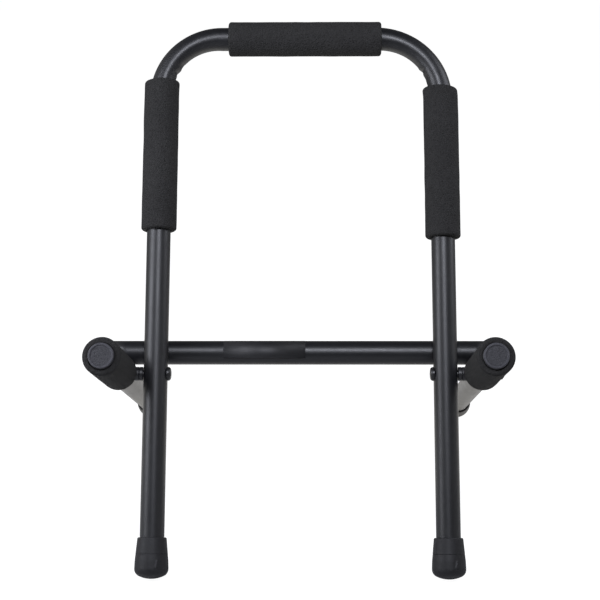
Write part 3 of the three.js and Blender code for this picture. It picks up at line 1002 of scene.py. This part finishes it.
def studio_room(stage):
    """A pale surround for the view, and for reflections a dark room with three lit walls."""
    world = bpy.data.worlds.new("Studio Room")
    bpy.context.scene.world = world
    world.use_nodes = True
    nodes, links = world.node_tree.nodes, world.node_tree.links
    seen = nodes["Background"]
    seen.inputs["Color"].default_value = (*[stage.floor_glow] * 3, 1)
    room = nodes.new("ShaderNodeBackground")
    direction = nodes.new("ShaderNodeTexCoord").outputs["Generated"]
    parts = nodes.new("ShaderNodeSeparateXYZ")
    links.new(direction, parts.inputs["Vector"])
    strength = 0.03
    walls = (("X", -0.3, -0.95, 0.7), ("X", 0.3, 0.95, 0.45), ("Y", 0.2, 0.9, 0.12))
    for axis, start, full, brightness in walls:
        wall = nodes.new("ShaderNodeMapRange")
        wall.interpolation_type = "SMOOTHSTEP"
        wall.inputs["From Min"].default_value = start
        wall.inputs["From Max"].default_value = full
        wall.inputs["To Max"].default_value = brightness
        links.new(parts.outputs[axis], wall.inputs["Value"])
        strength = maths(nodes, links, "ADD", strength, wall.outputs["Result"])
    links.new(strength, room.inputs["Strength"])
    switch = nodes.new("ShaderNodeMixShader")
    camera_ray = nodes.new("ShaderNodeLightPath").outputs["Is Camera Ray"]
    links.new(camera_ray, switch.inputs["Fac"])
    links.new(room.outputs["Background"], switch.inputs[1])
    links.new(seen.outputs["Background"], switch.inputs[2])
    links.new(switch.outputs["Shader"], nodes["World Output"].inputs["Surface"])


def place_camera(stage):
    camera = bpy.data.cameras.new("front_view")
    camera.lens = stage.lens
    camera.sensor_width = 36
    camera.shift_y = stage.rise
    camera.clip_end = 100
    holder = bpy.data.objects.new("front_view", camera)
    holder.location = stage.camera_place
    holder.rotation_euler = stage.camera_turn
    bpy.context.scene.collection.objects.link(holder)
    bpy.context.scene.camera = holder


# ---- Operators ----

class AMPSTAND_OT_stage(bpy.types.Operator):
    """Make the pale floor, the soft boxes and the camera"""

    bl_idname = "amp_stand.stage"
    bl_label = "Stage"

    def execute(self, context):
        stage = context.scene.amp_stand.stage
        studio_floor(stage)
        studio_room(stage)
        for soft_box in SOFT_BOXES:
            soft_light(*soft_box)
        place_camera(stage)
        context.scene.view_settings.view_transform = "Standard"
        return {"FINISHED"}


class AMPSTAND_OT_back_frame(bpy.types.Operator):
    """Bend the back frame's tube"""

    bl_idname = "amp_stand.back_frame"
    bl_label = "Back Frame"

    def execute(self, context):
        settings = context.scene.amp_stand
        make_back_frame_tube(settings.tubes, powder_coat(settings.colours))
        return {"FINISHED"}


class AMPSTAND_OT_arms(bpy.types.Operator):
    """Make the arms, the crossbar and the weld beads between them"""

    bl_idname = "amp_stand.arms"
    bl_label = "Arms and Crossbar"

    def execute(self, context):
        settings = context.scene.amp_stand
        coat = powder_coat(settings.colours)
        tubes = settings.tubes
        for side in SIDES:
            make_straight_tube(
                f"{side}_arm_tube", ARM_PLACES[side], ARM_LOW.z, ARM_HIGH.z, tubes, coat
            )
            make_weld(side, coat)
        make_straight_tube("crossbar_tube", CROSSBAR, BAR_LOW.x, BAR_HIGH.x, tubes, coat)
        return {"FINISHED"}


class AMPSTAND_OT_foam_grips(bpy.types.Operator):
    """Make the five foam grips"""

    bl_idname = "amp_stand.foam_grips"
    bl_label = "Foam Grips"

    def execute(self, context):
        settings = context.scene.amp_stand
        tubes, grips = settings.tubes, settings.foam
        material = foam(settings.colours)
        bends = {
            "left": (tubes.left_bend, grips.left_give), "right": (tubes.right_bend, grips.right_give)
        }
        for side, sign in SIDES.items():
            bend_radius, give = bends[side]
            bent = (sign, TOP_BAR - bend_radius, bend_radius, give)
            make_foam_grip(
                f"{side}_side_foam", LEG_PLACES[side], BACK_FRAME, grips, material,
                tubes.radius, bent,
            )
            make_foam_grip(
                f"{side}_arm_foam", ARM_PLACES[side], ARM_FRAME, grips, material, tubes.radius
            )
        along_bar = Matrix.Translation((0, 0, TOP_BAR)) @ Matrix.Rotation(QUARTER, 4, "Y")
        make_foam_grip("top_foam", STAND @ along_bar, BACK_FRAME, grips, material, tubes.radius)
        return {"FINISHED"}


class AMPSTAND_OT_feet(bpy.types.Operator):
    """Make the four rubber feet"""

    bl_idname = "amp_stand.feet"
    bl_label = "Rubber Feet"

    def execute(self, context):
        settings = context.scene.amp_stand
        material = rubber(settings.colours)
        radius = settings.tubes.radius
        front_turn = math.radians(-68)
        rear_turn = math.radians(90)
        for side in SIDES:
            make_foot(
                f"{side}_front_foot", LEG_PLACES[side], BACK_FRAME, settings.feet, radius,
                front_turn, material,
            )
            make_foot(
                f"{side}_rear_foot", ARM_PLACES[side], ARM_FRAME, settings.feet, radius,
                rear_turn, material,
            )
        return {"FINISHED"}


class AMPSTAND_OT_end_plugs(bpy.types.Operator):
    """Make the plugs in the ends of the arms and the crossbar"""

    bl_idname = "amp_stand.end_plugs"
    bl_label = "End Plugs"

    def execute(self, context):
        settings = context.scene.amp_stand
        material = plug_plastic(settings.colours)
        plugs, tubes = settings.plugs, settings.tubes
        gate_turns = {"left": math.radians(-20), "right": math.radians(150)}
        for side in SIDES:
            make_plug(
                f"{side}_arm_plug", ARM_PLACES[side], plugs, tubes, gate_turns[side], material
            )
            make_plug(
                f"{side}_crossbar_plug", CROSSBAR, plugs, tubes, gate_turns[side], material,
                flip=side == "left",
            )
        return {"FINISHED"}


class AMPSTAND_OT_pivots(bpy.types.Operator):
    """Make the bolts, washers, spacers and nuts of both pivots"""

    bl_idname = "amp_stand.pivots"
    bl_label = "Pivots"

    def execute(self, context):
        settings = context.scene.amp_stand
        pivots, colours = settings.pivots, settings.colours
        steel, plastic = black_steel(colours), nylon(colours)
        for side in SIDES:
            make_bolt(side, pivots, steel)
            make_nut(side, pivots, steel)
            chamfer = pivots.chamfer
            make_ring(f"{side}_outer_washer", side, pivots, steel, chamfer / 2)
            make_ring(f"{side}_leg_washer", side, pivots, plastic, chamfer)
            make_ring(f"{side}_pivot_spacer", side, pivots, plastic, chamfer)
        return {"FINISHED"}


class AMPSTAND_OT_label(bpy.types.Operator):
    """Make the blank film on the crossbar"""

    bl_idname = "amp_stand.label"
    bl_label = "Label"

    def execute(self, context):
        settings = context.scene.amp_stand
        make_label(settings.label, settings.tubes.radius, label_film(settings.colours))
        return {"FINISHED"}


class AMPSTAND_PT_panel(bpy.types.Panel):
    """Lists the steps that build the stand"""

    bl_idname = "AMPSTAND_PT_panel"
    bl_label = "Amp Stand"
    bl_space_type = "VIEW_3D"
    bl_region_type = "UI"
    bl_category = "Amp Stand"

    def draw(self, context):
        for operator in OPERATORS:
            self.layout.operator(operator.bl_idname)
        settings = context.scene.amp_stand
        for group in SETTING_GROUPS:
            box = self.layout.box()
            box.label(text=group.capitalize())
            values = getattr(settings, group)
            for name in values.__annotations__:
                box.prop(values, name)


OPERATORS = (
    AMPSTAND_OT_stage,
    AMPSTAND_OT_back_frame,
    AMPSTAND_OT_arms,
    AMPSTAND_OT_foam_grips,
    AMPSTAND_OT_feet,
    AMPSTAND_OT_end_plugs,
    AMPSTAND_OT_pivots,
    AMPSTAND_OT_label,
)
SETTING_GROUPS = ("tubes", "foam", "feet", "plugs", "pivots", "label", "colours", "stage")
CLASSES = (
    AmpStandTubes,
    AmpStandFoam,
    AmpStandFeet,
    AmpStandPlugs,
    AmpStandPivots,
    AmpStandLabel,
    AmpStandColours,
    AmpStandStage,
    AmpStandSettings,
    *OPERATORS,
    AMPSTAND_PT_panel,
)


def register():
    for cls in CLASSES:
        bpy.utils.register_class(cls)
    bpy.types.Scene.amp_stand = PointerProperty(type=AmpStandSettings)


def unregister():
    del bpy.types.Scene.amp_stand
    for cls in reversed(CLASSES):
        bpy.utils.unregister_class(cls)


def main():
    register()
    bpy.ops.amp_stand.stage()
    bpy.ops.amp_stand.back_frame()
    bpy.ops.amp_stand.arms()
    bpy.ops.amp_stand.foam_grips()
    bpy.ops.amp_stand.feet()
    bpy.ops.amp_stand.end_plugs()
    bpy.ops.amp_stand.pivots()
    bpy.ops.amp_stand.label()


if __name__ == "__main__":
    main()
